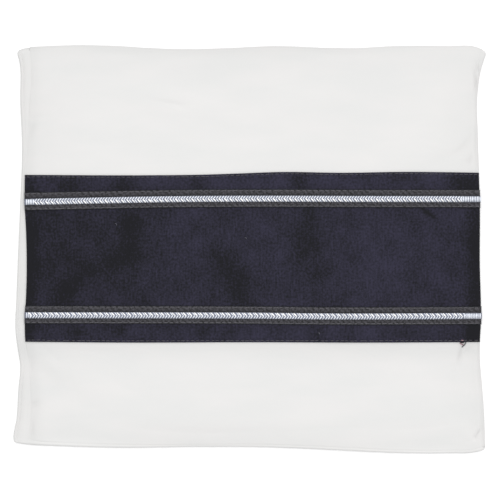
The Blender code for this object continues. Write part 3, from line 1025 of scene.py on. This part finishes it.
def make_ribbon(name, middle, material):
    """A woven ribbon over the band, with thin round selvedges and its ends taken with the band's."""
    columns = strip_columns(*RIBBON_ENDS, 200)
    away = (RIBBON_HALF, 6.4, 6.15, 5.9, 5.65, 5.3, 4.4, 3.4, 2.6)
    rows = beside(middle, [*(-distance for distance in away), 0.0, *away[::-1]])
    marks = {"thread": lambda x, y: along_and_up(x, y, middle)}
    turns = (RIBBON_IN_SEAM, RIBBON_OVER_EDGE, SELVEDGE, SELVEDGE)
    return turned_cloth(name, columns, rows, ribbon_height(middle), turns, TAPE_THICKNESS, material, marks)


def braid_height(middle):
    """The function for the height of a braid's core: half an ellipse across, on the ribbon's face."""
    face = ribbon_height(middle)

    def height(x, y):
        share = np.clip((y - middle(x)) / BRAID_HALF, -1.0, 1.0)
        return face(x, y) + BRAID_DOME * np.sqrt(np.maximum(1 - share**2, 0.0))

    return height


def make_braid_core(name, middle, material):
    """The flat woven middle of a braid, a domed strip whose long edges stand on the ribbon."""
    columns = strip_columns(*CORE_ENDS, 240)
    angles = np.radians(np.linspace(-78, 78, 11))
    rows = beside(middle, (-BRAID_HALF, *(BRAID_HALF * np.sin(angles)), BRAID_HALF))
    turns = (CORE_IN_SEAM, CORE_OVER_EDGE, CORE_EDGE, CORE_EDGE)
    return turned_cloth(name, columns, rows, braid_height(middle), turns, CORE_THICKNESS, material, {})


def tubes(name, paths, radii, sides, material):
    """Many short tubes in one mesh, from their paths and the radius at each step of them.

    Round each step, points lie on a circle across the path: the circle's first axis is level, at
    right angles to the path, and its second one stands on both. Each end is closed by one face.
    """
    count, steps = paths.shape[:2]
    heading = np.gradient(paths, axis=1)
    heading /= np.linalg.norm(heading, axis=2, keepdims=True)
    level = np.cross(heading, (0.0, 0.0, 1.0))
    level /= np.linalg.norm(level, axis=2, keepdims=True)
    standing = np.cross(level, heading)
    angles = np.linspace(0, 2 * np.pi, sides, endpoint=False)[:, None]
    circle = level[:, :, None] * np.cos(angles) + standing[:, :, None] * np.sin(angles)
    points = paths[:, :, None] + circle * radii[:, :, None, None]
    index = np.arange(count * steps * sides).reshape(count, steps, sides)
    after = np.roll(index, -1, axis=2)
    walls = np.stack([index[:, :-1], after[:, :-1], after[:, 1:], index[:, 1:]], axis=-1).reshape(-1, 4)
    ends = np.concatenate([index[:, 0, ::-1], index[:, -1]])
    mesh = bpy.data.meshes.new(name)
    mesh.from_pydata((points.reshape(-1, 3) * MM).tolist(), [], walls.tolist() + ends.tolist())
    return finished(name, mesh, material)


def make_strands(name, middle, part, from_x, to_x, pitch, half_turn, material, seed):
    """The slanting strands of one half of a braid, evenly spaced along it, over its domed core.

    A strand goes out across its half, from inner to outer, while it leans along the braid. Its radius
    swells and shrinks as the root of a sine. half_turn is -1 for the braid that is turned round.
    """
    chance = np.random.default_rng(seed)
    starts = np.arange(from_x, to_x, pitch) + part.start
    starts = starts[:, None] + chance.normal(0, STRAND_DRIFT, len(starts))[:, None]
    share = np.linspace(0, 1, STRAND_STEPS)
    across = (part.inner + (part.outer - part.inner) * share) * half_turn + 0 * starts
    along = starts + part.lean * half_turn * share
    y = middle(along) + across
    thickness = part.radius * (1 + chance.normal(0, STRAND_SPREAD, len(starts)))[:, None]
    radii = thickness * np.sqrt(np.sin(np.pi * (STRAND_TIP + (1 - 2 * STRAND_TIP) * share)))
    z = braid_height(middle)(along, y) + STRAND_LIFT * part.radius
    return tubes(name, np.stack([along, y, z], axis=-1), radii, STRAND_SIDES, material)


def make_stitches(name, lines, height, sewing, material, seed):
    """Lines of top stitches: each is a short thread that comes up, lies on the cloth and goes down again.

    Its middle lies on the cloth and both ends dip under it, as a cosine. Its length goes with the
    pitch. Lengths and places vary a little, as sewn ones do.
    """
    chance = np.random.default_rng(seed)
    share = np.linspace(-1, 1, STITCH_STEPS)
    length = STITCH_LENGTH * sewing.pitch / BAND_SEWING.pitch
    paths = []
    for line in lines:
        middles = np.arange(sewing.from_x, sewing.to_x, sewing.pitch)
        middles = middles + chance.normal(0, STITCH_DRIFT, len(middles))
        spread = chance.normal(0, STITCH_SPREAD, len(middles))
        lengths = length * (1 + np.clip(spread, -STITCH_LIMIT, STITCH_LIMIT))
        sideways = chance.normal(0, STITCH_SWAY, (len(middles), 2))
        along = middles[:, None] + lengths[:, None] / 2 * share
        y = line(along) + sideways[:, :1] + sideways[:, 1:] * share
        lift = STITCH_RISE * np.cos(np.pi / 2 * share) - STITCH_DIP
        paths.append(np.stack([along, y, height(along, y) + sewing.radius * lift], axis=-1))
    paths = np.concatenate(paths)
    radii = np.full(paths.shape[:2], sewing.radius)
    return tubes(name, paths, radii, THREAD_SIDES, material)


def make_fibre(name, height, radius, material, places):
    """A loose end of thread or a fibre of lint: one tube through a few places, on a smooth curve."""
    x, y, lift = np.array(places, float).T
    even, fine = np.linspace(0, 1, len(x)), np.linspace(0, 1, FIBRE_STEPS)
    curve_x, curve_y, curve_lift = (line_through(*zip(even, part))(fine) for part in (x, y, lift))
    path = np.stack([curve_x, curve_y, height(curve_x, curve_y) + curve_lift], axis=-1)[None]
    radii = np.full((1, len(fine)), radius)
    radii[:, (0, -1)] *= FIBRE_TIP
    return tubes(name, path, radii, THREAD_SIDES, material)


cotton = white_cotton()
navy = navy_cloth()
charcoal = charcoal_ribbon()
# The braid's lurex as copies of one silver: the core's dark grey is painted shade between the strands, and
# the thick strands' pure white is a painted highlight.
core_silver_painted_shade = silver_lurex("silver_lurex_core_painted_shade", "#7E8290", 0.5)
dull_silver = silver_lurex("silver_lurex_weave", "#ECF0F8", 0.38)
strand_silver_painted_highlight = silver_lurex("silver_lurex_strand_painted_highlight", "#FFFFFF", 0.33)
grey_thread = spun_thread("grey_sewing_thread", "#5A585C")
ribbon_thread = spun_thread("light_grey_sewing_thread", "#69676D")
dark_thread = spun_thread("dark_sewing_thread", "#2A2226")
pink_thread = spun_thread("pale_pink_thread", "#B08E97")
lint = spun_thread("lint_fibre", "#74747E")

back = make_back(cotton)
front = make_front(cotton)
band = make_band(navy)
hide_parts("back_panel")
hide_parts("front_panel")
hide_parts("navy_band")

# The braids, by side, middle line, ribbon, pitch, half turn, and the ends of their strands
BRAIDS = (
    ("upper", upper_ribbon, "ribbon_upper", 4.14, 1, -164.0, 162.0),
    ("lower", lower_ribbon, "ribbon_lower", 4.22, -1, -166.0, 164.0),
)
ribbons = []
ribbon_trims = []
for number, (side, middle, node, pitch, half_turn, from_x, to_x) in enumerate(BRAIDS):
    ribbon = make_ribbon(f"ribbon_{side}_weave", middle, charcoal)
    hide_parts(node)
    braid_line = offset(middle, -BRAID_DROP)
    trims = [make_braid_core(f"braid_{side}_core", braid_line, core_silver_painted_shade)]
    strands = (
        ("thin_strands", THIN_STRAND, from_x, to_x, pitch / 2, half_turn, dull_silver, 10),
        ("fill_strands", FILL_STRAND, from_x, to_x, pitch, half_turn, dull_silver, 50),
        ("bars_left", CROSS_BAR, BARS_FROM, from_x, BAR_PITCH, 1, dull_silver, 60),
        ("bars_right", CROSS_BAR, to_x + BARS_GAP, BARS_TO, BAR_PITCH, 1, dull_silver, 60),
        ("thick_strands", THICK_STRAND, from_x, to_x, pitch, half_turn, strand_silver_painted_highlight, 20),
    )
    for kind, *settings, seed in strands:
        trims.append(make_strands(f"braid_{side}_{kind}", braid_line, *settings, seed + number))
    sewn = beside(middle, (RIBBON_SEWING.inset - RIBBON_HALF, RIBBON_HALF - RIBBON_SEWING.inset))
    face = ribbon_height(middle)
    trims.append(
        make_stitches(f"ribbon_{side}_stitches", sewn, face, RIBBON_SEWING, ribbon_thread, 30 + number)
    )
    ribbons.append(ribbon)
    ribbon_trims.append(trims)

band_lines = [offset(band_top, -BAND_SEWING.inset), offset(band_bottom, BAND_SEWING.inset)]
band_stitches = make_stitches(
    "band_edge_stitches", band_lines, stitched_band, BAND_SEWING, grey_thread, 40
)

# Threads at the band's lower right corner: the cloth under one, its radius, and places that it goes
# through, as x, y and lift over the cloth
THREADS = (
    ("loose_thread_end", creased_front, 0.38, grey_thread,
     ((166.2, -71.6, 0.3), (165.2, -73.0, 0.9), (163.9, -74.3, 0.5), (162.9, -75.2, 0.3))),
    ("bar_tack", stitched_band, 0.42, dark_thread,
     ((161.4, -71.4, 0.1), (162.6, -71.6, 0.35), (164.6, -71.3, 0.1))),
    ("pale_thread_end", creased_front, 0.36, pink_thread,
     ((161.2, -71.9, 0.2), (162.6, -72.9, 0.5), (164.3, -73.5, 0.2))),
    ("pale_stitch", stitched_band, 0.3, pink_thread,
     ((162.3, -69.8, 0.0), (163.1, -69.9, 0.3), (164.0, -69.9, 0.0))),
)
_, bar_tack, _, pale_stitch = (make_fibre(*thread) for thread in THREADS)
for number, (x, y, size) in enumerate(LINT, 1):
    places = ((x, y, 0.1), (x + size, y + 0.3 * size, 0.4), (x + 1.2 * size, y - size, 0.1))
    make_fibre(f"lint_fibre_{number}", stitched_band, LINT_RADIUS, lint, places)

for ribbon, trims in zip(ribbons, ribbon_trims):
    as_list(trims)


def make_floor():
    """A plain white floor, just under the bag, which glows faintly like a light table: no shadow shows."""
    corners = np.array([(-1, -1, 0), (1, -1, 0), (1, 1, 0), (-1, 1, 0)]) * FLOOR_HALF
    mesh = bpy.data.meshes.new("floor")
    mesh.from_pydata(((corners - (0.0, 0.0, FLOOR_DROP)) * MM).tolist(), [], [(0, 1, 2, 3)])
    material, tree, shader = new_material("pale_floor")
    fill(tree, shader, {
        "Base Color": linear("#FFFFFF"), "Roughness": 0.9, "Specular IOR Level": 0.1,
        "Emission Color": linear("#FFFFFF"), "Emission Strength": FLOOR_GLOW,
    })
    mesh.materials.append(material)
    floor = add_object("floor", mesh)


def make_camera():
    """A long lens, straight over the bag, whose frame is as wide at the bag's face as the photo's."""
    data = bpy.data.cameras.new("camera")
    data.sensor_width = SENSOR_WIDTH
    frame_width = IMAGE_WIDTH_PIXELS * MM_A_PIXEL
    data.lens = SENSOR_WIDTH * (CAMERA_HEIGHT - FRONT_FACE_HEIGHT) / frame_width
    camera = add_object("camera", data)
    camera.location = (MM_A_PIXEL * MM, -MM_A_PIXEL * MM, CAMERA_HEIGHT * MM)
    bpy.context.scene.camera = camera


def make_lights():
    """A bright even room, and one wide soft lamp high over the bag, a little beyond its mouth."""
    world = bpy.data.worlds.new("room")
    world.use_nodes = True
    background = world.node_tree.nodes["Background"]
    fill(world.node_tree, background, {"Color": linear("#FFFFFF"), "Strength": ROOM_STRENGTH})
    bpy.context.scene.world = world
    data = bpy.data.lights.new("soft_lamp", "SUN")
    data.angle = np.radians(LAMP_ANGLE)
    data.energy = LAMP_STRENGTH
    lamp = add_object("soft_lamp", data)
    lamp.rotation_euler = (np.radians(LAMP_LEAN), 0.0, np.radians(LAMP_TURN) + np.pi / 2)


make_floor()
make_camera()
make_lights()
bpy.context.scene.view_settings.view_transform = "Standard"
